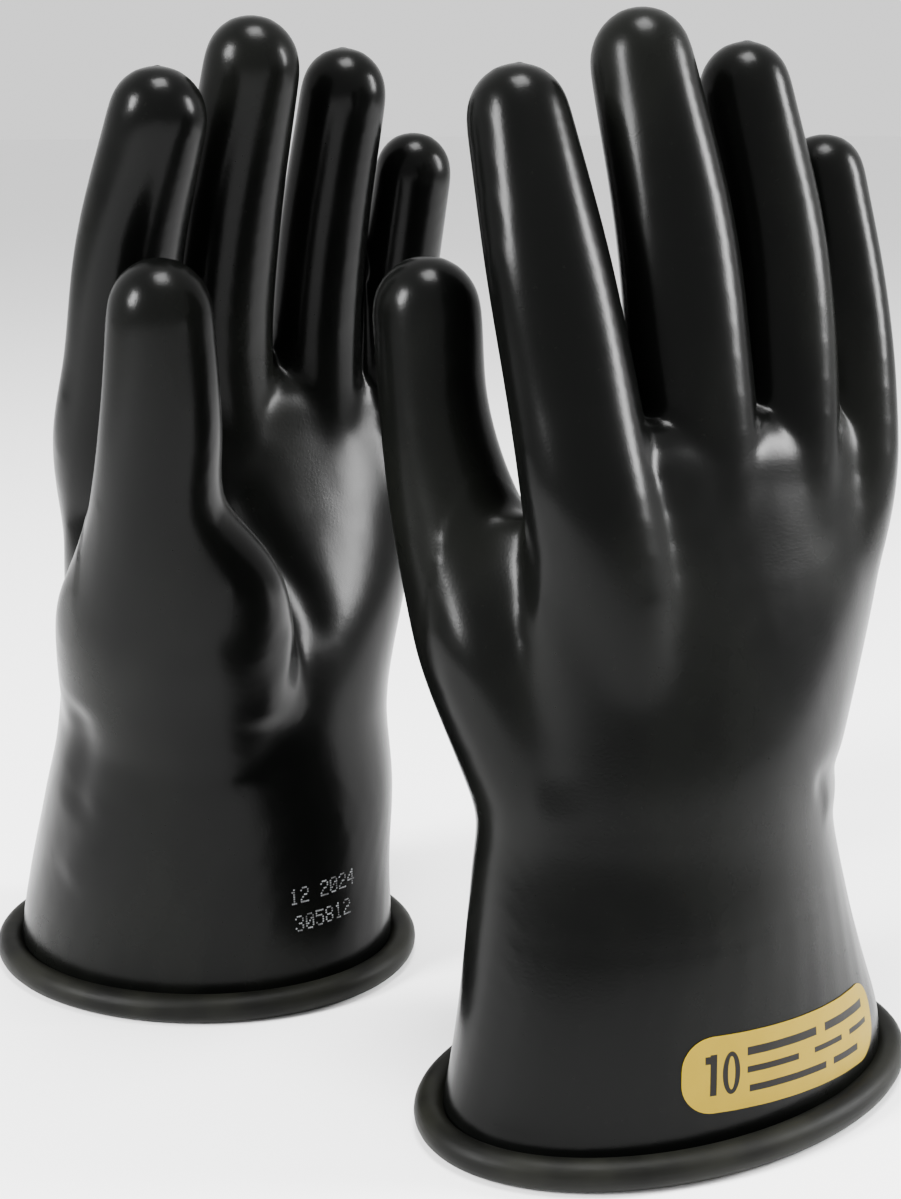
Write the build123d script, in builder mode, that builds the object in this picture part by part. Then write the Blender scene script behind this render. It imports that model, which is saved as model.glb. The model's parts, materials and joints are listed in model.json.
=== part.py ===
"""A pair of dipped rubber insulating gloves, standing on their rolled cuffs.

Each glove is one moulded rubber film in real life. Here it is divided at its flex lines, because a
rubber glove bends at the wrist and at the root of each digit: a stiff zone on either side of a flex
line is a rigid piece, and the short band that folds between them is a piece of its own.

Row frame, millimetres: +Z up from the surface that the gloves stand on, +X from the thumb side to the
little finger side, and the two palms face each other along Y, the left glove's palm towards -Y.
"""

import os
from dataclasses import dataclass
from math import cos, pi, radians, sin, sqrt

from build123d import *

# ---- Driving dimensions -------------------------------------------------------------------------

WALL = 0.75  # the dipped film, at the thickest that this voltage class allows
BEAD_RADIUS = 4.0  # rolled cuff edge
BEAD_SINK = 0.15  # how far the bead's foot is pressed flat
BEAD_BITE = 1.0  # how far the film runs into the roll
FILM_FOOT = 2.2  # lowest edge of the film, inside the roll

WRIST_LOW = 78.0  # the wrist's folding band starts here
WRIST_HIGH = 98.0  # and ends here
PALM_TOP = 173.0  # where the palm closes between the fingers

LABEL_WIDTH = 67.0  # straight across; about 72 measured round the cuff
LABEL_HEIGHT = 19.5
LABEL_ROUND = 8.0
LABEL_FILM = 0.3
LABEL_CENTRE_X = 6.5  # from the sleeve's axis towards the little finger
LABEL_CENTRE_Z = 22.5
LABEL_TILT = -3.0  # degrees, down towards the little finger

OVAL_POINTS = 20

PARTS = "parts"


@dataclass(frozen=True)
class Section:
    """An oval cross-section of the sleeve: height, centre, half width, half depth and turn."""

    z: float
    x: float
    y: float
    a: float
    b: float
    turn: float = 0.0


@dataclass(frozen=True)
class Digit:
    """A finger or thumb: its centreline from inside the palm to the centre of its round tip."""

    name: str
    root: tuple
    middle: tuple
    tip: tuple
    root_size: tuple  # half width and half depth inside the palm
    middle_size: tuple
    tip_radius: float
    turn: float  # degrees from +X towards the palm of the oval's long axis
    seam: float  # share of the centreline where the folding band starts
    band: float = 21.0  # length of the folding band


@dataclass(frozen=True)
class Glove:
    """One glove of the pair: where it stands and which way its palm faces."""

    side: str
    x: float
    y: float
    palm: int  # +1 where the palm faces +Y, -1 where it faces -Y
    cuff: tuple  # the sections of the flared cuff, which each glove holds its own way


HAND = (
    Section(WRIST_LOW, 1.8, 10.0, 51.5, 37.0),
    Section(WRIST_HIGH, 6.0, 8.6, 51.5, 33.5),
    Section(130, 12.0, 6.0, 56.5, 26.0),
    Section(152, 15.2, 5.0, 58.5, 20.5),
    Section(165, 16.3, 5.0, 57.5, 16.5),
    Section(PALM_TOP, 16.5, 5.0, 50.0, 11.0),
)

DIGITS = (
    Digit("thumb", (-17.0, 16.0, 112.0), (-37.0, 46.0, 155.0), (-36.4, 55.5, 200.7),
          (27.0, 17.5), (20.0, 15.0), 13.5, 37.0, 0.52, 18.0),
    Digit("index", (-29.0, 4.0, 160.0), (-31.0, 16.5, 208.0), (-27.0, 33.5, 247.7),
          (16.5, 13.0), (15.5, 12.5), 12.3, -15.0, 0.22),
    Digit("middle", (8.5, 5.0, 160.0), (7.0, 12.8, 215.0), (5.8, 28.0, 260.3),
          (14.5, 13.0), (14.5, 13.0), 13.0, -15.0, 0.24),
    Digit("ring", (38.5, 4.0, 160.0), (39.8, 9.4, 212.0), (38.8, 23.0, 253.7),
          (13.0, 12.0), (13.2, 12.2), 12.2, -15.0, 0.25),
    Digit("little", (64.5, 3.5, 152.0), (67.0, 8.5, 195.0), (66.0, 20.0, 232.0),
          (11.2, 11.5), (12.0, 11.5), 11.0, -15.0, 0.29),
)

GLOVES = (
    Glove("left", -38.5, 67.0, -1,
          (Section(FILM_FOOT, 0, 0, 56.5, 45.5, 45), Section(14, 0, 1, 56.0, 44.5, 45),
           Section(30, 0, 3, 54.8, 43.0, 40), Section(52, 1, 7, 54.0, 41.5, 24))),
    Glove("right", 17.0, -78.8, 1,
          (Section(FILM_FOOT, 0, 0, 64.0, 39.0, -7), Section(14, 0, 1, 62.0, 39.0, -7),
           Section(30, 0, 3, 58.5, 39.5, -4), Section(52, 1, 7, 54.8, 39.8))),
)


# ---- Section geometry ---------------------------------------------------------------------------


def oval_outline(glove: Glove, section: Section, grow: float) -> list:
    """Points round a turned oval at even polar angles, so that lofted ovals never twist."""
    a, b, turn = section.a + grow, section.b + grow, glove.palm * radians(section.turn)
    points = []
    for i in range(OVAL_POINTS):
        angle = 2 * pi * i / OVAL_POINTS
        reach = a * b / sqrt((b * cos(angle - turn)) ** 2 + (a * sin(angle - turn)) ** 2)
        points.append((reach * cos(angle), reach * sin(angle)))
    return points


def place(glove: Glove, x: float, y: float, z: float) -> Vector:
    """A point of the glove in the row frame, from its distance towards the palm."""
    return Vector(glove.x + x, glove.y + glove.palm * y, z)


def oval_face(glove: Glove, section: Section, grow: float = 0.0):
    """The closed oval of one sleeve section, as a sketch on its level plane."""
    level = Plane(origin=place(glove, section.x, section.y, section.z), x_dir=(1, 0, 0), z_dir=(0, 0, 1))
    with BuildSketch(level) as face:
        with BuildLine():
            Spline(*oval_outline(glove, section, grow), periodic=True)
        make_face()
    return face


def sleeve(glove: Glove, sections: tuple, grow: float, mode: Mode = Mode.ADD):
    """Loft a length of the sleeve through its sections, grown outwards by a given amount."""
    faces = [oval_face(glove, section, grow).sketch.face() for section in sections]
    return loft(sections=faces, mode=mode)


def centreline(glove: Glove, digit: Digit) -> Edge:
    """The digit's bowed centreline in the row frame."""
    with BuildLine() as line:
        Spline(*[place(glove, *point) for point in (digit.root, digit.middle, digit.tip)])
    return line.edge()


def digit_plane(glove: Glove, digit: Digit, line: Edge, share: float) -> Plane:
    """The plane across the digit at a share of its centreline, its X along the oval's long axis."""
    along = line % share
    wide = Vector(cos(radians(digit.turn)), glove.palm * sin(radians(digit.turn)), 0)
    return Plane(origin=line @ share, x_dir=wide - along * wide.dot(along), z_dir=along)


def digit_size(digit: Digit, share: float) -> tuple:
    """Half width and half depth of the digit at a share of its centreline."""
    tip = (digit.tip_radius, digit.tip_radius)
    low, high, part = (digit.root_size, digit.middle_size, share * 2) if share < 0.5 else (
        digit.middle_size, tip, share * 2 - 1)
    return tuple(start + (end - start) * part for start, end in zip(low, high))


def digit_tube(glove: Glove, digit: Digit, shares: tuple, grow: float, mode: Mode = Mode.ADD):
    """Loft a length of the digit between shares of its centreline."""
    line = centreline(glove, digit)
    faces = []
    for share in shares:
        a, b = digit_size(digit, share)
        with BuildSketch(digit_plane(glove, digit, line, share)) as face:
            Ellipse(a + grow, b + grow)
        faces.append(face.sketch.face())
    return loft(sections=faces, mode=mode)


def digit_tip(glove: Glove, digit: Digit, grow: float, mode: Mode = Mode.ADD):
    """The half ball that closes the digit."""
    with Locations(digit_plane(glove, digit, centreline(glove, digit), 1.0)):
        Sphere(digit.tip_radius + grow, arc_size1=0, align=(Align.CENTER, Align.CENTER, Align.MIN), mode=mode)


def band_shares(glove: Glove, digit: Digit) -> tuple:
    """The shares of the centreline where the folding band starts and ends."""
    return digit.seam, digit.seam + digit.band / centreline(glove, digit).length


# ---- Pieces of a glove --------------------------------------------------------------------------


def cuff_bead(glove: Glove) -> Part:
    """The rolled edge: a round ring outside the film's foot, pressed flat where it stands."""
    foot = glove.cuff[0]
    spread = BEAD_RADIUS - BEAD_BITE
    ring = Section(BEAD_RADIUS - BEAD_SINK, foot.x, foot.y, foot.a + spread, foot.b + spread, foot.turn)
    centre = place(glove, ring.x, ring.y, ring.z)
    outline = [centre + Vector(x, y, 0) for x, y in oval_outline(glove, ring, 0.0)]
    with BuildPart() as bead:
        with BuildLine() as path:
            Spline(*outline, periodic=True)
        with BuildSketch(Plane(origin=path.line @ 0, z_dir=path.line % 0)):
            Circle(BEAD_RADIUS)
        sweep()
        split(bisect_by=Plane.XY, keep=Keep.TOP)
    return bead.part


def gauntlet(glove: Glove) -> Part:
    """The flared cuff from the roll up to the wrist's folding band."""
    sections = glove.cuff + HAND[:1]
    with BuildPart() as cuff:
        sleeve(glove, sections, 0.0)
        sleeve(glove, sections, -WALL, Mode.SUBTRACT)
    return cuff.part


def wrist_band(glove: Glove) -> Part:
    """The short band at the wrist that folds when the hand tips."""
    with BuildPart() as band:
        sleeve(glove, HAND[:2], 0.0)
        sleeve(glove, HAND[:2], -WALL, Mode.SUBTRACT)
    return band.part


def palm_form(glove: Glove, grow: float) -> Part:
    """The palm closed between the fingers, with a short stub for the root of each digit."""
    top = HAND[-1]
    lid = Section(PALM_TOP + grow, top.x, top.y, top.a, top.b)
    with BuildPart() as form:
        sleeve(glove, (*HAND[1:-1], lid), grow)
        for digit in DIGITS:
            digit_tube(glove, digit, (0.0, digit.seam), grow)
    return form.part


def hand(glove: Glove) -> Part:
    """The hollow palm and back of the hand, open at the wrist and into each digit."""
    with BuildPart() as shell:
        add(palm_form(glove, 0.0))
        add(palm_form(glove, -WALL), mode=Mode.SUBTRACT)
    return shell.part


def digit_band(glove: Glove, digit: Digit) -> Part:
    """The band at a digit's root that folds when the digit bends."""
    with BuildPart() as band:
        digit_tube(glove, digit, band_shares(glove, digit), 0.0)
        digit_tube(glove, digit, band_shares(glove, digit), -WALL, Mode.SUBTRACT)
    return band.part


def digit_sleeve(glove: Glove, digit: Digit) -> Part:
    """The hollow length of a digit above its folding band, closed by its round tip."""
    start = band_shares(glove, digit)[1]
    shares = (start, (start + 1) / 2, 1.0)
    with BuildPart() as tube:
        digit_tube(glove, digit, shares, 0.0)
        digit_tip(glove, digit, 0.0)
        digit_tube(glove, digit, shares, -WALL, Mode.SUBTRACT)
        digit_tip(glove, digit, -WALL, Mode.SUBTRACT)
    return tube.part


def cuff_label(glove: Glove) -> Part:
    """The printed film on the back of the cuff, following its flare."""
    centre = place(glove, LABEL_CENTRE_X, 0, LABEL_CENTRE_Z)
    facing = Plane(origin=centre, x_dir=(cos(radians(LABEL_TILT)), 0, sin(radians(LABEL_TILT))),
                   z_dir=(0, -glove.palm, 0))
    reach = glove.cuff[0].b * 2
    with BuildPart() as label:
        sleeve(glove, glove.cuff + HAND[:1], LABEL_FILM)
        sleeve(glove, glove.cuff + HAND[:1], 0.0, Mode.SUBTRACT)
        with BuildSketch(facing):
            RectangleRounded(LABEL_WIDTH, LABEL_HEIGHT, LABEL_ROUND)
        extrude(amount=reach, mode=Mode.INTERSECT)
    return label.part


# ---- Build and write ----------------------------------------------------------------------------


def write(part: Part, name: str) -> None:
    """Label a finished piece and write it as its own STEP file."""
    part.label = name
    export_step(part, os.path.join(PARTS, name + ".step"))


os.makedirs(PARTS, exist_ok=True)
for glove in GLOVES:
    write(cuff_bead(glove), f"{glove.side}_cuff_bead")
    write(gauntlet(glove), f"{glove.side}_gauntlet")
    write(wrist_band(glove), f"{glove.side}_wrist_band")
    write(hand(glove), f"{glove.side}_hand")
    write(cuff_label(glove), f"{glove.side}_cuff_label")
    for digit in DIGITS:
        write(digit_band(glove, digit), f"{glove.side}_{digit.name}_band")
        write(digit_sleeve(glove, digit), f"{glove.side}_{digit.name}")
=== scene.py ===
"""A pair of dipped rubber insulating gloves, standing on their rolled cuffs: the visible surfaces.

Each glove is made as the real one is. A solid form of a hand is lofted from oval rings, its parts are
fused and softened as a thick dip softens them, and the skin of the form gets the film's thickness. The
skin is parted just above the webs, into the cuff and hand and each digit.

Sizes are in millimetres in a glove's own frame: X towards the little finger, Y towards the palm, Z up.
"""

from __future__ import annotations

import json
import logging
import math
from dataclasses import dataclass, field
from enum import Enum

import bpy
import numpy as np
from mathutils import Matrix, Vector
from mathutils.kdtree import KDTree


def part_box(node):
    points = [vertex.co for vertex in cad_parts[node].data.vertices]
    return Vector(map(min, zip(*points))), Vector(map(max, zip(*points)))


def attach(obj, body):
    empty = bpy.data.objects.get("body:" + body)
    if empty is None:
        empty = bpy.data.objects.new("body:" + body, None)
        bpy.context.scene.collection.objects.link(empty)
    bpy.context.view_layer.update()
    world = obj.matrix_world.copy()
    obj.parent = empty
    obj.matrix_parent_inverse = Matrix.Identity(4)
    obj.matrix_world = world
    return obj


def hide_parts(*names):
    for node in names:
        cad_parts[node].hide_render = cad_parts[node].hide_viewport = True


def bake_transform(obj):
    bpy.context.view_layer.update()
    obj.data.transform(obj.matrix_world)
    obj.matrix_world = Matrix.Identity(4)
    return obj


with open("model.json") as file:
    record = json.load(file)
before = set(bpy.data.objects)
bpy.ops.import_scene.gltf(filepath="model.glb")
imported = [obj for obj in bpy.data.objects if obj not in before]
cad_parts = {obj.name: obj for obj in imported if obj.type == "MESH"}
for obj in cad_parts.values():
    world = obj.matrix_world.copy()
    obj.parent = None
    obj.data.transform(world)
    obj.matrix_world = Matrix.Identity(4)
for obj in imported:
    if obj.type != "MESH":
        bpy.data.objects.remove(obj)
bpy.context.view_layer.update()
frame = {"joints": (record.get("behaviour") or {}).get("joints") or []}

MM = 0.001
FILM = 0.75  # the rubber's thickness
RING_POINTS = 40
VOXEL = 1.5  # size of the grid that fuses the lofts
SOFTENING_STEPS = 14
SOFTENING_REGAIN = 0.45  # how far the form is grown again after it is softened
HAND_MELTING_STEPS = 60
HAND_REGAIN = 0.7
SOFT_HAND = (55.0, 80.0, 138.0, 170.0)  # heights between which the hand's own shape is melted together
PALM_SIDE = 34.0  # beyond this depth the thumb's own melting heights hold
THUMB_MELTING = (118.0, 150.0)  # heights over which the thumb keeps more and more of its shape
THUMB_TURN = 37.0  # degrees from +X towards the palm
FINGER_TURN = -15.0
WEB_ROUNDING = 0.6  # how full the web's round end is
CUT_MARGIN = 6.0  # how far below a digit's cut the faces are cut too
DIGIT_REACH = 1.6  # how far from its middle line a digit goes, in half widths at its root
FAR = 75.0  # a depth outside every glove

log = logging.getLogger("gloves")


class Side(Enum):
    """Which hand a glove fits; the value is the direction in which its palm faces along Y."""

    LEFT = -1
    RIGHT = 1

    @property
    def word(self) -> str:
        """The side's name as the bodies and nodes spell it."""
        return self.name.lower()


# ---- Small tools --------------------------------------------------------------------------------


def deselect_all() -> None:
    """Leave nothing selected, so that an operator acts only on what is chosen next."""
    for thing in bpy.context.selected_objects:
        thing.select_set(False)


def choose(*things: bpy.types.Object) -> None:
    """Select these objects and nothing else, and make the first one active."""
    deselect_all()
    for thing in things:
        thing.select_set(True)
    bpy.context.view_layer.objects.active = things[0]


def apply_modifier(thing: bpy.types.Object, kind: str, **settings: object) -> None:
    """Add one modifier, set it and apply it.

    Args:
        thing: the mesh object.
        kind: the modifier's type.
        settings: the modifier's properties by name.
    """
    choose(thing)
    modifier = thing.modifiers.new(kind.title(), kind)
    for name, value in settings.items():
        setattr(modifier, name, value)
    bpy.ops.object.modifier_apply(modifier=modifier.name)


def points_of(thing: bpy.types.Object) -> np.ndarray:
    """Every vertex of a mesh object as rows of x, y, z in metres."""
    points = np.empty(len(thing.data.vertices) * 3)
    thing.data.vertices.foreach_get("co", points)
    return points.reshape(-1, 3)


def normals_of(thing: bpy.types.Object) -> np.ndarray:
    """The smooth normal at every vertex of a mesh object."""
    normals = np.empty(len(thing.data.vertices) * 3)
    thing.data.vertex_normals.foreach_get("vector", normals)
    return normals.reshape(-1, 3)


def move_points(thing: bpy.types.Object, points: np.ndarray) -> None:
    """Put every vertex of a mesh object at its row of x, y, z in metres."""
    thing.data.vertices.foreach_set("co", points.ravel())
    thing.data.update()


def smooth_track(stations: np.ndarray, steps: int) -> np.ndarray:
    """Run a smooth curve through a few rows of numbers.

    Args:
        stations: one row for each station; the spacing comes from the first three columns.
        steps: how many rows to make between neighbouring stations.

    Returns:
        The rows along the curve, with the stations among them.
    """
    gaps = np.linalg.norm(np.diff(stations[:, :3], axis=0), axis=1)
    reach = np.concatenate(([0.0], np.cumsum(gaps)))
    slopes = np.gradient(stations, reach, axis=0)
    rows = []
    for i, gap in enumerate(gaps):
        for t in np.arange(steps) / steps:
            rows.append((2 * t**3 - 3 * t**2 + 1) * stations[i] + (t**3 - 2 * t**2 + t) * gap * slopes[i]
                        + (3 * t**2 - 2 * t**3) * stations[i + 1] + (t**3 - t**2) * gap * slopes[i + 1])
    rows.append(stations[-1])
    return np.array(rows)


def distance_to_path(points: np.ndarray, path: np.ndarray) -> tuple[np.ndarray, np.ndarray]:
    """Measure how far points are from a run of straight pieces.

    Args:
        points: rows of x, y, z.
        path: the corners of the run.

    Returns:
        Each point's distance, and how far along the run its nearest place is, from 0 to 1.
    """
    best = np.full(len(points), 1e9)
    along = np.zeros(len(points))
    lengths = np.linalg.norm(np.diff(path, axis=0), axis=1)
    starts = np.concatenate(([0.0], np.cumsum(lengths)))
    for i, length in enumerate(lengths):
        step = (path[i + 1] - path[i]) / length
        t = np.clip((points - path[i]) @ step, 0.0, length)
        gap = np.linalg.norm(points - path[i] - t[:, None] * step, axis=1)
        closer = gap < best
        best[closer] = gap[closer]
        along[closer] = (starts[i] + t[closer]) / starts[-1]
    return best, along


# ---- Shader maths -------------------------------------------------------------------------------


class Value:
    """An output socket of a shader tree that can be added, multiplied and so on."""

    def __init__(self, shader: "Shader", socket: bpy.types.NodeSocket) -> None:
        """Hold the socket and the tree that it belongs to."""
        self.shader = shader
        self.socket = socket

    def __add__(self, other: "Value | float") -> "Value":
        """Sum."""
        return self.shader.maths("ADD", self, other)

    def __sub__(self, other: "Value | float") -> "Value":
        """Difference."""
        return self.shader.maths("SUBTRACT", self, other)

    def __mul__(self, other: "Value | float") -> "Value":
        """Product."""
        return self.shader.maths("MULTIPLY", self, other)

    def __lt__(self, other: "Value | float") -> "Value":
        """1 where smaller, else 0."""
        return self.shader.maths("LESS_THAN", self, other)

    def between(self, low: float, high: float) -> "Value":
        """A soft step from 0 at low to 1 at high."""
        return self.shader.node("ShaderNodeMapRange", "Result", Value=self, interpolation_type="SMOOTHSTEP",
                                **{"From Min": low, "From Max": high})


class Shader:
    """One node material, with a method for maths and one for any other node."""

    def __init__(self, name: str) -> None:
        """Start an empty material with a Principled surface."""
        self.material = bpy.data.materials.new(name)
        self.material.use_nodes = True
        self.tree = self.material.node_tree
        self.surface = self.tree.nodes["Principled BSDF"]

    def feed(self, socket: bpy.types.NodeSocket, value: object) -> None:
        """Link a Value to a socket, or set the socket to a plain number or colour."""
        if isinstance(value, Value):
            self.tree.links.new(value.socket, socket)
        else:
            socket.default_value = value

    def node(self, kind: str, output: str, **settings: object) -> Value:
        """Make any node.

        Args:
            kind: the node's type name.
            output: which of its outputs to give back.
            settings: its properties and inputs by name.

        Returns:
            The chosen output.
        """
        made = self.tree.nodes.new(kind)
        for name, value in settings.items():
            if name in made.inputs:
                self.feed(made.inputs[name], value)
            else:
                setattr(made, name, value)
        return Value(self, made.outputs[output])

    def maths(self, operation: str, *terms: "Value | float") -> Value:
        """Make a Math node from one, two or three terms."""
        made = self.tree.nodes.new("ShaderNodeMath")
        made.operation = operation
        for socket, term in zip(made.inputs, terms):
            self.feed(socket, term)
        return Value(self, made.outputs[0])

    def mix(self, share: Value, first: tuple, second: tuple) -> Value:
        """Blend two colours by a share from 0 to 1."""
        made = self.tree.nodes.new("ShaderNodeMix")
        made.data_type = "RGBA"
        for place, value in ((0, share), (6, first), (7, second)):
            self.feed(made.inputs[place], value)
        return Value(self, made.outputs[2])

    def noise(self, size: float, stretch: tuple = (1.0, 1.0, 1.0), detail: float = 3.0) -> Value:
        """Cloudy variation in the object's own space.

        Args:
            size: the typical width of a cloud in metres.
            stretch: how much longer the clouds are along each axis.
            detail: how many finer layers are added.
        """
        place = self.node("ShaderNodeTexCoord", "Object")
        scale = tuple(1.0 / (size * s) for s in stretch)
        mapped = self.node("ShaderNodeMapping", "Vector", Vector=place, Scale=scale)
        return self.node("ShaderNodeTexNoise", "Fac", Vector=mapped, Scale=1.0, Detail=detail)

    def bump(self, height: Value, depth: float, strength: float, under: Value | None = None) -> Value:
        """Turn a height into a surface normal, on top of another bump if there is one."""
        settings = {"Height": height, "Distance": depth, "Strength": strength}
        if under is not None:
            settings["Normal"] = under
        return self.node("ShaderNodeBump", "Normal", **settings)

    def finish(self, **settings: object) -> bpy.types.Material:
        """Feed the surface's sockets by name and give back the material."""
        for name, value in settings.items():
            self.feed(self.surface.inputs[name.replace("_", " ")], value)
        return self.material


@dataclass(frozen=True)
class DippedRubber:
    """Satin black rubber film: slightly uneven gloss, faint dust and the dip's soft waves."""

    black: tuple = (0.0012, 0.0013, 0.0012, 1.0)
    bloom: tuple = (0.0036, 0.0039, 0.0032, 1.0)
    roughness: float = 0.235

    def make(self) -> bpy.types.Material:
        """Build the material."""
        shader = Shader("dipped rubber")
        cloud = shader.noise(0.045, stretch=(1.0, 1.0, 1.8)).between(0.42, 0.72)
        speck = shader.noise(0.0011, detail=1.0).between(0.70, 0.80)
        colour = shader.mix(cloud * 0.55 + speck * 0.35, self.black, self.bloom)
        rough = cloud * 0.06 + shader.noise(0.006) * 0.05 + (self.roughness - 0.03)
        waves = shader.bump(shader.noise(0.016, stretch=(1.0, 1.0, 2.0), detail=1.0), 0.0006, 0.35)
        grain = shader.bump(shader.noise(0.0007, detail=2.0), 0.00006, 0.35, waves)
        return shader.finish(Base_Color=colour, Roughness=rough, Normal=grain, Specular_IOR_Level=0.065)


@dataclass(frozen=True)
class RolledRubber:
    """The rolled edge: duller and more olive than the film, with fine lines along the roll."""

    black: tuple = (0.0018, 0.0019, 0.0015, 1.0)
    olive: tuple = (0.0052, 0.0054, 0.0040, 1.0)
    roughness: float = 0.52

    def make(self) -> bpy.types.Material:
        """Build the material."""
        shader = Shader("rolled rubber")
        cloud = shader.noise(0.018).between(0.35, 0.7)
        colour = shader.mix(cloud, self.black, self.olive)
        lines = shader.noise(0.0009, stretch=(9.0, 9.0, 1.0), detail=2.0)
        rough = shader.noise(0.004) * 0.1 + (self.roughness - 0.05)
        skin = shader.bump(lines, 0.00015, 0.5)
        return shader.finish(Base_Color=colour, Roughness=rough, Normal=skin, Specular_IOR_Level=0.08)


@dataclass(frozen=True)
class LabelFilm:
    """Gold-tan printed film: a plain size number and dark bars where print would be."""

    gold: tuple = (0.21, 0.142, 0.003, 1.0)
    faded: tuple = (0.245, 0.168, 0.007, 1.0)
    print_colour: tuple = (0.0035, 0.0028, 0.0018, 1.0)

    def bar(self, shader: Shader, place: tuple, half: tuple) -> Value:
        """1 inside an upright bar of the label's plane, else 0.

        Args:
            shader: the material being built.
            place: the bar's middle across and up the label, from 0 to 1.
            half: its half width and half height in the same measure.
        """
        across, up = self.plane(shader)
        wide = shader.maths("ABSOLUTE", across - place[0]) < half[0]
        return wide * (shader.maths("ABSOLUTE", up - place[1]) < half[1])

    def plane(self, shader: Shader) -> tuple[Value, Value]:
        """The place across and up the label, each from 0 to 1."""
        uv = shader.node("ShaderNodeUVMap", "UV", uv_map="label")
        split = shader.tree.nodes.new("ShaderNodeSeparateXYZ")
        shader.feed(split.inputs[0], uv)
        return Value(shader, split.outputs[0]), Value(shader, split.outputs[1])

    def nought(self, shader: Shader, place: tuple, half: tuple, stroke: float) -> Value:
        """1 on an upright oval ring, else 0, placed and sized as a bar is."""
        across, up = self.plane(shader)
        side, rise = across - place[0], up - place[1]

        def oval(wide: float, tall: float) -> Value:
            """1 inside the oval, else 0."""
            x, y = side * (1.0 / wide), rise * (1.0 / tall)
            return (x * x + y * y) < 1.0

        return oval(*half) - oval(half[0] - stroke, half[1] - stroke * 3.0)

    def make(self) -> bpy.types.Material:
        """Build the material."""
        shader = Shader("label film")
        bars = [((0.115, 0.5), (0.013, 0.27)), ((0.095, 0.70), (0.012, 0.05)),
                ((0.42, 0.74), (0.17, 0.055)), ((0.78, 0.74), (0.14, 0.055)),
                ((0.37, 0.50), (0.12, 0.042)), ((0.66, 0.50), (0.085, 0.036)), ((0.87, 0.50), (0.07, 0.036)),
                ((0.45, 0.25), (0.19, 0.046)), ((0.77, 0.25), (0.085, 0.046))]
        inked = self.nought(shader, (0.185, 0.5), (0.035, 0.28), 0.021)
        for place, half in bars:
            inked = shader.maths("MAXIMUM", inked, self.bar(shader, place, half))
        paper = shader.mix(shader.noise(0.008), self.gold, self.faded)
        colour = shader.mix(inked, paper, self.print_colour)
        rough = shader.noise(0.003) * 0.12 + 0.45
        skin = shader.bump(shader.noise(0.0009), 0.00005, 0.4)
        return shader.finish(Base_Color=colour, Roughness=rough, Normal=skin, Specular_IOR_Level=0.12)


@dataclass(frozen=True)
class FadedInk:
    """Pale grey ink, worn unevenly."""

    pale: tuple = (0.13, 0.135, 0.14, 1.0)
    worn: tuple = (0.02, 0.02, 0.021, 1.0)

    def make(self) -> bpy.types.Material:
        """Build the material."""
        shader = Shader("faded ink")
        colour = shader.mix(shader.noise(0.0025).between(0.35, 0.65), self.worn, self.pale)
        return shader.finish(Base_Color=colour, Roughness=0.7)


@dataclass(frozen=True)
class StudioPaper:
    """The pale surface that the gloves stand on."""

    pale: tuple = (0.92, 0.92, 0.92, 1.0)
    paler: tuple = (0.94, 0.94, 0.94, 1.0)

    def make(self) -> bpy.types.Material:
        """Build the material."""
        shader = Shader("studio paper")
        colour = shader.mix(shader.noise(0.4), self.pale, self.paler)
        return shader.finish(Base_Color=colour, Roughness=0.75)


# ---- The form of a hand -------------------------------------------------------------------------


@dataclass(frozen=True)
class Digit:
    """A finger or thumb of the form, from where it starts inside the palm to its round tip.

    Each station is x, y, z of the middle, then the half width and the half depth.
    """

    name: str
    stations: tuple
    turn: float  # degrees from +X towards the palm of the wide axis
    band: float = 21.0  # length of the band centred on the hinge; the digit is cut at its lower end

    @property
    def free(self) -> tuple:
        """The stations above the palm."""
        return self.stations[-4:]


@dataclass(frozen=True)
class Crease:
    """A soft valley, or a ridge where the depth is negative, pressed along a path on the film."""

    path: tuple
    width: float
    depth: float
    facing: tuple  # only film that looks this way is pressed

    def press(self, points: np.ndarray, normals: np.ndarray) -> np.ndarray:
        """Move points along their normals.

        Args:
            points: the film's points in the glove's own frame, in millimetres.
            normals: their normals in the same frame.

        Returns:
            The moved points.
        """
        track = smooth_track(np.array(self.path, float), 6)
        gap, along = distance_to_path(points, track)
        ends = np.clip(np.minimum(along, 1.0 - along) * 5.0, 0.0, 1.0)
        ends = ends * ends * (3.0 - 2.0 * ends)
        towards = np.array(self.facing, float)
        seen = np.clip(normals @ (towards / np.linalg.norm(towards)) * 2.0, 0.0, 1.0)
        push = self.depth * np.exp(-0.5 * (gap / self.width) ** 2) * ends * seen
        return points - normals * push[:, None]


# Each row of the sleeve is x, y, z, half width, half depth and turn.
SLEEVE_COMMON = (
    (3.7, 10.0, 78.0, 50.2, 37.0, 0.0), (6.8, 9.0, 92.0, 51.2, 35.0, 0.0),
    (11.0, 8.0, 108.0, 53.6, 31.0, 0.0), (15.0, 6.0, 128.0, 56.8, 24.0, 0.0),
    (16.6, 5.0, 145.0, 57.4, 18.5, 0.0), (16.0, 4.5, 160.0, 56.4, 14.5, 0.0),
    (15.5, 4.5, 171.0, 52.0, 11.5, 0.0), (15.5, 4.5, 176.0, 40.0, 7.0, 0.0),
)

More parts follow.
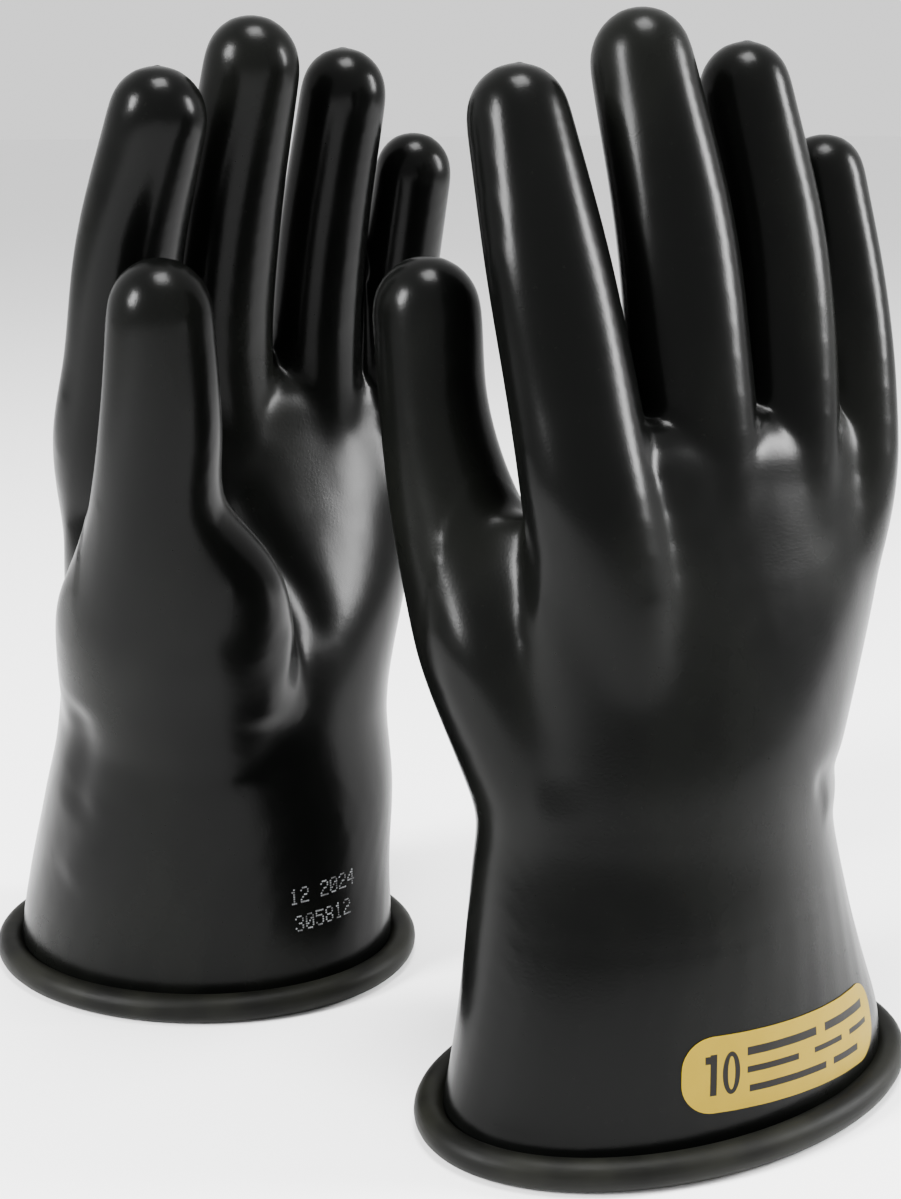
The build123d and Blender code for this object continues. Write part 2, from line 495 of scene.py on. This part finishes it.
DIGITS = (
    Digit("thumb", ((-6.0, 9.0, 50.0, 37.0, 29.0), (-12.5, 17.0, 76.0, 34.0, 27.5),
                    (-21.3, 27.0, 100.0, 32.0, 22.8), (-27.6, 38.5, 125.0, 29.7, 20.5),
                    (-34.9, 45.9, 150.0, 17.4, 16.2), (-36.6, 52.9, 175.0, 14.9, 13.4),
                    (-37.1, 55.5, 200.7, 12.8, 13.4)), THUMB_TURN, 18.0),
    Digit("index", ((-10.0, 5.0, 100.0, 13.0, 20.0), (-20.0, 4.6, 130.0, 15.5, 20.5),
                    (-26.9, 4.6, 160.0, 15.8, 15.0), (-26.6, 11.8, 184.0, 15.7, 13.0),
                    (-26.9, 21.2, 214.0, 14.9, 12.4), (-24.8, 35.4, 247.4, 12.2, 12.2)), FINGER_TURN),
    Digit("middle", ((6.0, 6.0, 104.0, 12.0, 20.0), (7.5, 5.0, 135.0, 13.5, 20.0),
                     (8.5, 4.6, 160.0, 15.0, 15.2), (7.2, 7.5, 188.0, 15.4, 13.2),
                     (7.4, 13.5, 218.0, 14.6, 13.0), (7.5, 28.0, 260.4, 12.2, 12.6)), FINGER_TURN),
    Digit("ring", ((26.0, 6.0, 104.0, 12.0, 18.0), (34.0, 5.0, 135.0, 12.8, 18.5),
                   (38.0, 4.2, 160.0, 13.6, 14.6), (39.4, 6.2, 186.0, 13.2, 12.6),
                   (39.8, 11.5, 216.0, 12.5, 12.2), (39.1, 23.8, 253.9, 11.3, 11.7)), FINGER_TURN),
    Digit("little", ((36.0, 7.0, 100.0, 12.0, 16.0), (54.0, 5.0, 130.0, 13.2, 16.0),
                     (63.0, 4.0, 155.0, 12.2, 13.4), (65.2, 6.5, 178.0, 11.6, 12.0),
                     (65.8, 11.0, 200.0, 11.2, 11.5), (65.4, 20.0, 232.2, 10.6, 10.8)), FINGER_TURN),
)

THUMB_WEB = ((-14.0, 10.0, 92.0, 22.0, 18.0), (-25.0, 20.0, 118.0, 19.0, 18.0),
             (-31.0, 25.0, 137.0, 12.5, 15.5), (-32.5, 26.5, 147.0, 6.5, 11.0))

CREASES = {
    Side.LEFT: (
        Crease(((1.0, 22.0, 152.0), (4.5, 25.5, 140.0), (10.0, 30.0, 127.0), (15.0, 35.0, 113.0),
                (15.0, 40.0, 100.0)), 3.8, 1.1, (0.1, 1.0, 0.2)),
        Crease(((-4.0, 56.0, 118.0), (-2.0, 55.0, 108.0), (-6.0, 53.0, 96.0), (-9.0, 50.0, 84.0)),
               4.0, -0.5, (0.2, 1.0, 0.0)),
        Crease(((-4.0, 50.0, 90.0), (-5.0, 48.0, 78.0), (-7.0, 47.0, 66.0)), 5.0, 0.6, (0.0, 1.0, 0.0)),
        Crease(((-50.0, 22.0, 96.0), (-48.0, 20.0, 84.0), (-47.0, 16.0, 70.0), (-48.0, 10.0, 56.0)),
               4.0, 1.1, (-1.0, 0.2, 0.0)),
        Crease(((-46.0, 26.0, 66.0), (-48.0, 20.0, 55.0), (-49.0, 12.0, 44.0), (-50.0, 4.0, 34.0)),
               4.0, -0.7, (-1.0, 0.3, 0.0)),
    ),
    Side.RIGHT: (
        Crease(((-44.0, 12.0, 146.0), (-44.5, 9.0, 130.0), (-43.5, 4.0, 112.0), (-43.0, 0.0, 97.0),
                (-42.0, -3.0, 84.0)), 5.5, 0.8, (-1.0, -0.3, 0.0)),
        Crease(((22.0, -24.0, 84.0), (32.0, -20.6, 86.0), (41.0, -14.0, 84.0), (48.0, -6.0, 86.0)),
               3.2, 0.9, (0.5, -1.0, 0.0)),
        Crease(((28.0, -22.0, 78.0), (38.0, -17.0, 77.0), (46.0, -9.0, 79.0)),
               3.0, -0.6, (0.5, -1.0, 0.0)),
    ),
}


@dataclass
class GloveForm:
    """The solid form of one glove: a sleeve and palm, four fingers, a thumb and its web."""

    side: Side
    cuff: tuple
    creases: tuple = ()
    origin: Vector = field(init=False)

    def __post_init__(self) -> None:
        """Find where the glove stands from its rolled edge."""
        low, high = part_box(f"{self.side.word}_cuff_bead")
        self.origin = Vector(((low[0] + high[0]) / 2, (low[1] + high[1]) / 2, 0.0))

    def place(self, point: tuple) -> Vector:
        """A point of the glove's own frame in the row's frame, in metres."""
        return self.origin + Vector((point[0], self.side.value * point[1], point[2])) * MM

    def own(self, points: np.ndarray) -> np.ndarray:
        """Points of the row's frame in the glove's own frame, in millimetres."""
        return (points - np.array(self.origin)) / MM * (1.0, self.side.value, 1.0)

    def direction(self, vector: tuple) -> Vector:
        """A direction of the glove's own frame in the row's frame."""
        return Vector((vector[0], self.side.value * vector[1], vector[2])).normalized()

    def loft(self, rows: np.ndarray, alongs: list, turns: list) -> bpy.types.Object:
        """Add a ring at each row, bridge the rings and close both ends.

        Args:
            rows: x, y, z, half width and half depth of each ring in the glove's own frame.
            alongs: the direction across which each ring lies.
            turns: degrees from +X towards the palm of each ring's wide axis.

        Returns:
            The closed loft.
        """
        deselect_all()
        for i, (row, along, turn) in enumerate(zip(rows, alongs, turns)):
            axis = self.direction(along)
            wide = self.direction((math.cos(math.radians(turn)), math.sin(math.radians(turn)), 0.0))
            wide = (wide - axis * wide.dot(axis)).normalized()
            facing = Matrix((wide, axis.cross(wide), axis)).transposed()
            middle = self.place(row)
            bpy.ops.mesh.primitive_circle_add(vertices=RING_POINTS, radius=row[3] * MM, location=middle,
                                              rotation=facing.to_euler())
            if i == 0:
                loft = bpy.context.object
                bpy.ops.object.transform_apply(location=True, rotation=True, scale=True)
                bpy.ops.object.mode_set(mode="EDIT")
                bpy.ops.mesh.select_mode(type="VERT")
                bpy.ops.mesh.select_all(action="SELECT")
            bpy.ops.transform.resize(value=(1.0, row[4] / row[3], 1.0), orient_type="GLOBAL",
                                     orient_matrix=facing, orient_matrix_type="GLOBAL",
                                     constraint_axis=(False, True, False), center_override=middle)
        bpy.ops.mesh.select_all(action="SELECT")
        bpy.ops.mesh.bridge_edge_loops()
        bpy.ops.mesh.select_all(action="DESELECT")
        bpy.ops.mesh.select_non_manifold()
        bpy.ops.mesh.fill_holes(sides=0)
        bpy.ops.mesh.select_all(action="SELECT")
        bpy.ops.mesh.normals_make_consistent(inside=False)
        bpy.ops.object.mode_set(mode="OBJECT")
        return loft

    def sleeve(self) -> bpy.types.Object:
        """The cuff, wrist and palm, closed above by a low dome."""
        rows = smooth_track(np.array(self.cuff + SLEEVE_COMMON, float), 4)
        return self.loft(rows, [(0.0, 0.0, 1.0)] * len(rows), list(rows[:, 5]))

    def round_end(self, row: np.ndarray, along: np.ndarray, share: float = 1.0) -> list:
        """Rings that close a digit with a round end."""
        rings = []
        for angle in np.radians((18, 36, 54, 70, 82)):
            ring = row.copy()
            ring[:3] += along * row[4] * share * math.sin(angle)
            ring[3:5] *= math.cos(angle)
            rings.append(ring)
        return rings

    def digit(self, stations: tuple, turn: float, share: float = 1.0) -> bpy.types.Object:
        """A finger, thumb or web lofted along its bowed middle line."""
        rows = smooth_track(np.array(stations, float), 5)
        alongs = np.gradient(rows[:, :3], axis=0)
        alongs /= np.linalg.norm(alongs, axis=1)[:, None]
        rings = list(rows) + self.round_end(rows[-1], alongs[-1], share)
        directions = list(alongs) + [alongs[-1]] * (len(rings) - len(rows))
        return self.loft(np.array(rings), [tuple(a) for a in directions], [turn] * len(rings))

    def melt_hand(self, form: bpy.types.Object) -> None:
        """Soften the hand below its digits more than the rest, and grow it again by what that costs."""
        own = self.own(points_of(form))
        share = np.interp(own[:, 2], SOFT_HAND, (0.0, 1.0, 1.0, 0.0))
        thumb_share = np.interp(own[:, 2], THUMB_MELTING, (1.0, 0.0))
        share *= np.where(own[:, 1] > PALM_SIDE, thumb_share, 1.0)
        group = form.vertex_groups.new(name="hand")
        for i in np.flatnonzero(share > 0.0):
            group.add([int(i)], float(share[i]), "REPLACE")
        apply_modifier(form, "SMOOTH", factor=0.5, iterations=HAND_MELTING_STEPS, vertex_group="hand")
        apply_modifier(form, "DISPLACE", strength=HAND_REGAIN * MM, mid_level=0.0, vertex_group="hand")

    def build(self) -> bpy.types.Object:
        """Fuse the lofts into one soft form and press its creases.

        Returns:
            The form's skin, closed, with its faces outwards.
        """
        lofts = [self.sleeve(), self.digit(THUMB_WEB, THUMB_TURN, WEB_ROUNDING)]
        lofts += [self.digit(digit.stations, digit.turn) for digit in DIGITS]
        choose(*lofts)
        bpy.ops.object.join()
        form = bpy.context.object
        form.name = f"{self.side.word}_form"
        apply_modifier(form, "REMESH", mode="VOXEL", voxel_size=VOXEL * MM)
        apply_modifier(form, "SMOOTH", factor=0.5, iterations=SOFTENING_STEPS)
        self.melt_hand(form)
        apply_modifier(form, "DISPLACE", strength=SOFTENING_REGAIN * MM, mid_level=0.0)
        for crease in self.creases:
            points = self.own(points_of(form))
            normals = normals_of(form) * (1.0, self.side.value, 1.0)
            moved = crease.press(points, normals)
            move_points(form, moved * (1.0, self.side.value, 1.0) * MM + np.array(self.origin))
        apply_modifier(form, "SMOOTH", factor=0.5, iterations=2)
        return form


# ---- The glove's pieces -------------------------------------------------------------------------


@dataclass
class Film:
    """The rubber film of one glove, parted at its digits and given its thickness."""

    form: GloveForm
    rubber: bpy.types.Material
    foot: float = 2.4  # lowest edge, inside the roll
    wrist_band: float = 28.0  # length of the band at the wrist

    def hinge(self, name: str) -> Vector:
        """Where a joint's axis is at rest."""
        found = [joint for joint in frame["joints"] if joint["name"] == f"{self.form.side.word}_{name}_bend"]
        return Vector(found[0]["pos_m"])

    def fold(self, digit: Digit) -> tuple[Vector, Vector]:
        """The start and end of the band around a digit's hinge, on its middle line."""
        line = smooth_track(np.array(digit.stations, float), 12)[:, :3]
        hinge = self.hinge(digit.name)
        own = self.form.own(np.array([hinge]))[0]
        nearest = int(np.argmin(np.linalg.norm(line - own, axis=1)))
        along = self.form.direction(tuple(line[nearest + 1] - line[nearest - 1]))
        return hinge - along * digit.band * MM / 2, hinge + along * digit.band * MM / 2

    def in_digit(self, digit: Digit, points: np.ndarray) -> np.ndarray:
        """Which points belong to a digit above its root."""
        own = self.form.own(points)
        gaps = {}
        for each in DIGITS:
            line = smooth_track(np.array(each.free, float), 4)[:, :3]
            gaps[each.name] = distance_to_path(own, line)[0]
        mine = gaps.pop(digit.name)
        return (mine < digit.free[0][3] * DIGIT_REACH) & (mine < np.min(list(gaps.values()), axis=0))

    def part(self, skin: bpy.types.Object, digit: Digit) -> bpy.types.Object:
        """Cut the skin across one digit and take off what is above the cut."""
        start, end = self.fold(digit)
        along = (end - start).normalized()
        choose(skin)
        for stage in ("cut", "take"):
            middles = np.empty(len(skin.data.polygons) * 3)
            skin.data.polygons.foreach_get("center", middles)
            middles = middles.reshape(-1, 3)
            above = (middles - np.array(start)) @ np.array(along)
            reach = -CUT_MARGIN * MM if stage == "cut" else 0.0
            chosen = self.in_digit(digit, middles) & (above > reach)
            bpy.ops.object.mode_set(mode="EDIT")
            bpy.ops.mesh.select_mode(type="FACE")
            bpy.ops.mesh.select_all(action="DESELECT")
            bpy.ops.object.mode_set(mode="OBJECT")
            skin.data.polygons.foreach_set("select", chosen)
            bpy.ops.object.mode_set(mode="EDIT")
            if stage == "cut":
                bpy.ops.mesh.bisect(plane_co=start, plane_no=along)
            else:
                bpy.ops.mesh.separate(type="SELECTED")
            bpy.ops.object.mode_set(mode="OBJECT")
        taken = [thing for thing in bpy.context.selected_objects if thing is not skin][0]
        taken.name = f"{self.form.side.word}_{digit.name}_film"
        return taken

    def thicken(self, piece: bpy.types.Object, shared: KDTree, normals: np.ndarray) -> None:
        """Give a piece the film's thickness and the unparted skin's shading.

        Args:
            piece: one parted piece of the outer skin.
            shared: every point of the skin before it was parted.
            normals: the normals at those points.
        """
        apply_modifier(piece, "SOLIDIFY", thickness=FILM * MM, offset=-1.0)
        choose(piece)
        bpy.ops.object.shade_smooth()
        mesh = piece.data
        corners = np.empty(len(mesh.loops) * 3)
        mesh.corner_normals.foreach_get("vector", corners)
        corners = corners.reshape(-1, 3)
        outer = [shared.find(vertex.co) for vertex in mesh.vertices]
        for face in mesh.polygons:
            for corner in face.loop_indices:
                _, index, gap = outer[mesh.loops[corner].vertex_index]
                if gap < 0.01 * MM and Vector(normals[index]).dot(face.normal) > 0.5:
                    corners[corner] = normals[index]
        mesh.normals_split_custom_set([tuple(corner) for corner in corners])

    def shading(self, whole: bpy.types.Object, pieces: list) -> tuple[KDTree, np.ndarray]:
        """Find how the unparted skin faces at every point of the parted pieces.

        Args:
            whole: a copy of the skin from before it was parted.
            pieces: the parted pieces.

        Returns:
            A tree of the pieces' points, and the skin's normal at each of them.
        """
        spots = np.concatenate([points_of(piece) for piece in pieces])
        surface = KDTree(len(whole.data.vertices))
        for i, point in enumerate(points_of(whole)):
            surface.insert(point, i)
        surface.balance()
        normals = normals_of(whole)
        shared = KDTree(len(spots))
        facings = []
        for i, point in enumerate(spots):
            shared.insert(point, i)
            facing = Vector()
            for _, index, gap in surface.find_n(point, 3):
                facing += Vector(normals[index]) * (1.0 / (gap + 1e-7))
            facings.append(facing.normalized())
        shared.balance()
        return shared, np.array(facings)

    def build(self) -> bpy.types.Object:
        """Part the form's skin and thicken each piece.

        Returns:
            The film of the cuff and hand.
        """
        word = self.form.side.word
        skin = self.form.build()
        skin.name = f"{word}_sleeve_film"
        choose(skin)
        bpy.ops.object.mode_set(mode="EDIT")
        bpy.ops.mesh.select_all(action="SELECT")
        bpy.ops.mesh.bisect(plane_co=(0, 0, self.foot * MM), plane_no=(0, 0, 1), clear_inner=True)
        bpy.ops.object.mode_set(mode="OBJECT")
        whole = skin.copy()
        whole.data = skin.data.copy()
        bpy.context.collection.objects.link(whole)
        pieces = {digit.name: self.part(skin, digit) for digit in DIGITS}
        everything = [skin, *pieces.values()]
        shared, facings = self.shading(whole, everything)
        bpy.data.objects.remove(whole)
        for piece in everything:
            self.thicken(piece, shared, facings)
            piece.data.materials.clear()
            piece.data.materials.append(self.rubber)
        reach = Vector((0.0, 0.0, self.wrist_band * MM / 2))
        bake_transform(skin)
        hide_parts(f"{word}_gauntlet", f"{word}_wrist_band", f"{word}_hand")
        log.info("%s: %d faces", skin.name, len(skin.data.polygons))
        for digit in DIGITS:
            start, end = self.fold(digit)
            piece = pieces[digit.name]
            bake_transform(piece)
            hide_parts(f"{word}_{digit.name}_band", f"{word}_{digit.name}")
            log.info("%s: %d faces", piece.name, len(piece.data.polygons))
        return skin


@dataclass
class CuffRoll:
    """The rolled edge that a glove stands on."""

    form: GloveForm
    rubber: bpy.types.Material
    radius: float = 4.0
    bite: float = 0.5
    sink: float = 0.15

    def build(self) -> None:
        """Run a round section along the foot of the film and press its underside flat."""
        word = self.form.side.word
        foot = self.form.cuff[0]
        spread = self.radius - self.bite
        deselect_all()
        bpy.ops.curve.primitive_bezier_circle_add(
            radius=1.0, location=self.form.place((foot[0], foot[1], self.radius - self.sink)),
            rotation=(0.0, 0.0, math.radians(foot[5]) * self.form.side.value))
        roll = bpy.context.object
        roll.scale = ((foot[3] + spread) * MM, (foot[4] + spread) * MM, 1.0)
        bpy.ops.object.transform_apply(location=True, rotation=True, scale=True)
        for point in roll.data.splines[0].bezier_points:
            point.radius = 1.0
        roll.data.resolution_u = 40
        roll.data.bevel_depth = self.radius * MM
        roll.data.bevel_resolution = 9
        bpy.ops.object.convert(target="MESH")
        roll = bpy.context.object
        roll.name = f"{word}_cuff_roll"
        points = points_of(roll)
        points[:, 2] = np.maximum(points[:, 2], 0.0)
        move_points(roll, points)
        choose(roll)
        bpy.ops.object.mode_set(mode="EDIT")
        bpy.ops.mesh.select_all(action="SELECT")
        bpy.ops.mesh.remove_doubles(threshold=0.00001)
        bpy.ops.mesh.normals_make_consistent(inside=False)
        bpy.ops.object.mode_set(mode="OBJECT")
        bpy.ops.object.shade_smooth()
        roll.data.materials.clear()
        roll.data.materials.append(self.rubber)
        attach(roll, f"{word}_cuff")
        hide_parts(f"{word}_cuff_bead")
        log.info("%s: %d faces", roll.name, len(roll.data.polygons))


@dataclass
class CuffLabel:
    """The printed label on the back of the cuff, laid on the film."""

    form: GloveForm
    film: bpy.types.Material
    width: float = 69.5
    height: float = 19.2
    corner: float = 8.0
    middle: tuple = (8.4, 22.0)  # across and up
    tilt: float = -4.0  # degrees, down towards the little finger
    clearance: float = 0.12
    thickness: float = 0.18
    strip: float = 1.5  # width of the strips that let it bend
    away: float = 70.0  # how far behind the glove's middle the flat sheet starts

    def stand(self) -> Vector:
        """The middle of the flat sheet, well behind the cuff."""
        return self.form.place((self.middle[0], -self.away, self.middle[1]))

    def sheet(self) -> bpy.types.Object:
        """A flat label with round corners, standing behind the cuff and divided so that it can bend."""
        deselect_all()
        stand = self.stand()
        bpy.ops.mesh.primitive_plane_add(size=1.0, location=stand, rotation=(math.radians(90.0), 0.0, 0.0))
        sheet = bpy.context.object
        bpy.ops.object.transform_apply(location=True, rotation=True, scale=True)
        bpy.ops.object.mode_set(mode="EDIT")
        bpy.ops.mesh.select_mode(type="VERT")
        bpy.ops.mesh.select_all(action="SELECT")
        bpy.ops.transform.resize(value=(self.width * MM, 1.0, self.height * MM), center_override=stand)
        bpy.ops.mesh.bevel(offset=self.corner * MM, segments=10, affect="VERTICES")
        for normal, span in (((1, 0, 0), self.width), ((0, 0, 1), self.height)):
            count = round(span / self.strip)
            for i in range(1, count):
                bpy.ops.mesh.select_all(action="SELECT")
                cut = stand + Vector(normal) * (i / count - 0.5) * span * MM
                bpy.ops.mesh.bisect(plane_co=cut, plane_no=normal)
        bpy.ops.object.mode_set(mode="OBJECT")
        return sheet

    def mark(self, sheet: bpy.types.Object) -> None:
        """Give the flat sheet its own measure across and up, read from outside the glove."""
        flat = (points_of(sheet) - np.array(self.stand())) / MM
        across = flat[:, 0] * self.form.side.value / self.width + 0.5
        up = flat[:, 2] / self.height + 0.5
        layer = sheet.data.uv_layers.new(name="label")
        for loop in sheet.data.loops:
            layer.data[loop.index].uv = (across[loop.vertex_index], up[loop.vertex_index])

    def lay(self, sheet: bpy.types.Object, skin: bpy.types.Object, towards: Vector) -> None:
        """Tilt the flat sheet and move each of its points onto the film.

        Args:
            sheet: the flat label.
            skin: the finished film of the cuff and hand.
            towards: the way from the sheet to the film.
        """
        stand = np.array(self.stand())
        points = points_of(sheet) - stand
        lean = math.radians(self.tilt)
        leaned = points.copy()
        leaned[:, 0] = points[:, 0] * math.cos(lean) - points[:, 2] * math.sin(lean)
        leaned[:, 2] = points[:, 0] * math.sin(lean) + points[:, 2] * math.cos(lean)
        leaned += stand
        laid = []
        for point in leaned:
            hit, place, normal, _ = skin.ray_cast(Vector(point), towards)
            laid.append(place + normal * self.clearance * MM if hit else Vector(point))
        move_points(sheet, np.array(laid))

    def build(self, skin: bpy.types.Object) -> None:
        """Lay the label on the film and give it its thickness.

        Args:
            skin: the finished film of the cuff and hand.
        """
        word = self.form.side.word
        sheet = self.sheet()
        sheet.name = f"{word}_cuff_print"
        self.mark(sheet)
        towards = self.form.direction((0.0, 1.0, 0.0))
        self.lay(sheet, skin, towards)
        choose(sheet)
        bpy.ops.object.mode_set(mode="EDIT")
        bpy.ops.mesh.select_all(action="SELECT")
        bpy.ops.mesh.normals_make_consistent(inside=False)
        bpy.ops.object.mode_set(mode="OBJECT")
        if sheet.data.polygons[0].normal.dot(towards) > 0.0:
            sheet.data.flip_normals()
        apply_modifier(sheet, "SOLIDIFY", thickness=self.thickness * MM, offset=1.0)
        choose(sheet)
        bpy.ops.object.shade_smooth_by_angle(angle=math.radians(40.0))
        sheet.data.materials.clear()
        sheet.data.materials.append(self.film)
        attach(sheet, f"{word}_cuff")
        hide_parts(f"{word}_cuff_label")
        log.info("%s: %d faces", sheet.name, len(sheet.data.polygons))


DOT_DIGITS = {
    "0": "01110 10001 10011 10101 11001 10001 01110",
    "1": "00100 01100 00100 00100 00100 00100 01110",
    "2": "01110 10001 00001 00110 01000 10000 11111",
    "3": "01110 10001 00001 00110 00001 10001 01110",
    "4": "00010 00110 01010 10010 11111 00010 00010",
    "5": "11111 10000 11110 00001 00001 10001 01110",
    "8": "01110 10001 10001 01110 10001 10001 01110",
    " ": "00000 00000 00000 00000 00000 00000 00000",
}


@dataclass
class InkStamp:
    """Two rows of dotted digits, stamped on the palm side of the left glove's cuff."""

    form: GloveForm
    ink: bpy.types.Material
    rows: tuple = ("12 2024", "305812")
    start: tuple = (0.0, 35.2)  # across and up, at the first row's top left dot
    dot: float = 0.27  # radius
    thickness: float = 0.1
    step: tuple = (0.52, 0.7)  # from dot to dot, across and down
    letter: float = 3.2  # from digit to digit
    row: float = 8.2  # from row to row
    indent: float = 1.2  # how much further in each next row starts
    climb: float = 0.22  # how much higher each next digit stands

    def dots(self) -> list:
        """Where each dot stands, across and up the cuff."""
        places = []
        for i, text in enumerate(self.rows):
            for j, sign in enumerate(text):
                for k, line in enumerate(DOT_DIGITS[sign].split()):
                    for m in (m for m, mark in enumerate(line) if mark == "1"):
                        across = self.start[0] + j * self.letter + m * self.step[0] + i * self.indent
                        up = self.start[1] - i * self.row - k * self.step[1] + j * self.climb
                        places.append((across, up))
        return places

    def build(self, skin: bpy.types.Object) -> None:
        """Set one small flat dot on the film for each dot of each digit.

        Args:
            skin: the finished film of the cuff and hand.
        """
        deselect_all()
        stamp = None
        towards = self.form.direction((0.0, -1.0, 0.0))
        for across, up in self.dots():
            hit, place, normal, _ = skin.ray_cast(self.form.place((across, FAR, up)), towards)
            if not hit:
                continue
            turn = normal.to_track_quat("Z", "Y").to_euler()
            bpy.ops.mesh.primitive_cylinder_add(vertices=7, radius=self.dot * MM, depth=self.thickness * MM,
                                                location=place, rotation=turn)
            if stamp is None:
                stamp = bpy.context.object
                bpy.ops.object.transform_apply(location=True, rotation=True, scale=True)
                bpy.ops.object.mode_set(mode="EDIT")
        bpy.ops.object.mode_set(mode="OBJECT")
        stamp.name = f"{self.form.side.word}_ink_stamp"
        stamp.data.materials.clear()
        stamp.data.materials.append(self.ink)
        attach(stamp, f"{self.form.side.word}_cuff")
        log.info("%s: %d faces", stamp.name, len(stamp.data.polygons))


# ---- The studio ---------------------------------------------------------------------------------


@dataclass
class Studio:
    """The camera, the floor and the soft lights."""

    eye: tuple = (-0.2879, -0.3887, 0.247)
    heading: tuple = (0.602, 0.799)
    pitch: float = 14.9
    lens: float = 54.35

    def camera(self) -> None:
        """Place the camera and make it the scene's."""
        data = bpy.data.cameras.new("camera")
        data.lens = self.lens
        data.sensor_fit = "VERTICAL"
        data.sensor_height = 36.0
        data.clip_start = 0.01
        camera = bpy.data.objects.new("camera", data)
        bpy.context.collection.objects.link(camera)
        level = Vector((*self.heading, 0.0)).normalized()
        look = level * math.cos(math.radians(self.pitch)) - Vector((0, 0, math.sin(math.radians(self.pitch))))
        camera.location = self.eye
        camera.rotation_euler = look.to_track_quat("-Z", "Y").to_euler()
        bpy.context.scene.camera = camera

    def light(self, name: str, place: tuple, size: tuple, power: float) -> None:
        """Add one soft box that faces the gloves.

        Args:
            name: the light's name.
            place: how far it is to the right of the view, back along it, and up, in metres.
            size: its width and height in metres.
            power: its power in watts.
        """
        ahead = Vector((*self.heading, 0.0)).normalized()
        right = ahead.cross(Vector((0, 0, 1)))
        spot = right * place[0] - ahead * place[1] + Vector((0, 0, place[2]))
        deselect_all()
        bpy.ops.object.light_add(type="AREA", location=spot)
        lamp = bpy.context.object
        lamp.name = name
        lamp.data.shape = "RECTANGLE"
        lamp.data.size, lamp.data.size_y = size
        lamp.data.energy = power
        lamp.rotation_euler = (Vector((0, 0, 0.15)) - spot).to_track_quat("-Z", "Y").to_euler()

    def build(self, paper: bpy.types.Material) -> None:
        """Set the whole studio up."""
        self.camera()
        self.light("left softbox", (-0.95, 0.55, 0.75), (0.28, 0.45), 52.0)
        self.light("right softbox", (1.0, -0.05, 0.55), (0.18, 0.5), 30.0)
        self.light("top softbox", (0.1, 0.2, 1.6), (0.55, 0.55), 52.0)
        world = bpy.data.worlds.new("studio")
        bpy.context.scene.world = world
        world.use_nodes = True
        world.node_tree.nodes["Background"].inputs["Color"].default_value = (1.0, 1.0, 1.0, 1.0)
        world.node_tree.nodes["Background"].inputs["Strength"].default_value = 1.25
        deselect_all()
        bpy.ops.mesh.primitive_plane_add(size=40.0, location=(0, 0, 0))
        floor = bpy.context.object
        floor.name = "floor"
        floor.data.materials.append(paper)


CUFFS = {
    Side.LEFT: ((0.0, 0.0, -8.0, 56.9, 45.9, 45.0), (0.0, 0.1, 4.0, 56.7, 45.6, 45.0),
                (0.0, 1.0, 14.0, 56.0, 44.5, 45.0), (0.7, 3.0, 30.0, 53.8, 43.0, 38.0),
                (2.3, 7.0, 52.0, 51.8, 41.0, 22.0)),
    Side.RIGHT: ((0.0, 0.0, -8.0, 64.4, 39.0, -7.0), (0.2, 0.0, 4.0, 64.6, 39.2, -7.0),
                 (1.3, 0.6, 14.0, 62.9, 39.2, -7.0), (1.6, 3.0, 30.0, 59.4, 39.5, -4.0),
                 (2.2, 7.0, 52.0, 55.0, 39.8, 0.0)),
}


def main() -> None:
    """Build the studio and both gloves."""
    logging.basicConfig(level=logging.INFO, format="%(name)s %(message)s")
    Studio().build(StudioPaper().make())
    film, rolled = DippedRubber().make(), RolledRubber().make()
    label = LabelFilm().make()
    for side in Side:
        form = GloveForm(side, CUFFS[side], CREASES[side])
        skin = Film(form, film).build()
        CuffRoll(form, rolled).build()
        CuffLabel(form, label).build(skin)
        if side is Side.LEFT:
            InkStamp(form, FadedInk().make()).build(skin)


if __name__ == "__main__":
    main()
